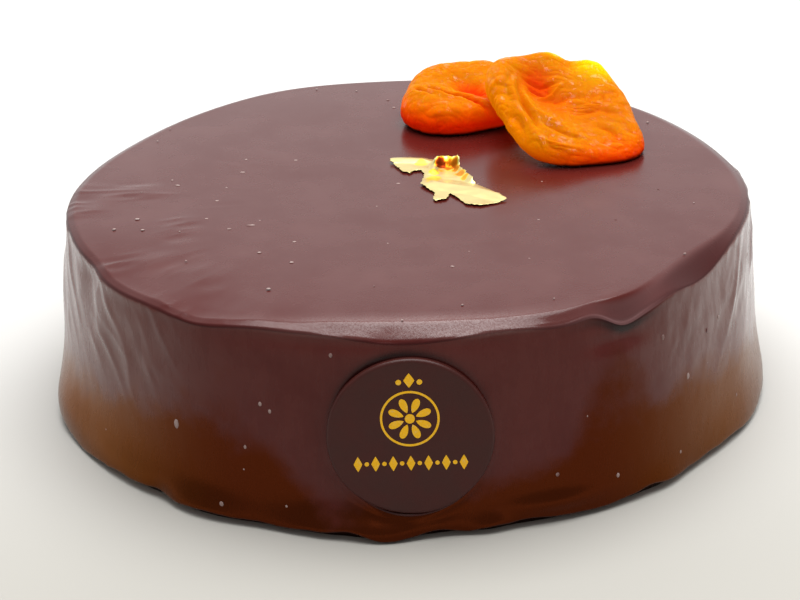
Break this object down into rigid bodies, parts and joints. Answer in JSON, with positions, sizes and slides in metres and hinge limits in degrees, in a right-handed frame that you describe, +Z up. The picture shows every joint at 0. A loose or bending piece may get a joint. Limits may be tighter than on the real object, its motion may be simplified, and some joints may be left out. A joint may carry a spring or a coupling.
{
  "type": "sachertorte cake",
  "caption": "Whole round chocolate cake under a smooth dark glaze, with a chocolate disc on its side, dried apricots and a flake of gold leaf on top.",
  "frame": {"origin": "centre of the cake's flat underside", "axes": "+Z up; -Y is the front, where the chocolate disc is; +X is to the right seen from the front"},
  "size_m": [0.1796, 0.1802, 0.0681],
  "materials": {
    "chocolate_glaze": "satin set chocolate glaze, greyish mauve where it mirrors the light",
    "chocolate_disc": "satin moulded dark chocolate",
    "dried_apricot": "moist, waxy, slightly translucent dried fruit",
    "gold": "bright beaten gold leaf, and gold print on the disc"
  },
  "bodies": {
    "root": {"cake": "chocolate_glaze", "chocolate_disc": "chocolate_disc", "apricot_left": "dried_apricot", "apricot_right": "dried_apricot", "gold_leaf": "gold"}
  },
  "joints": []
}
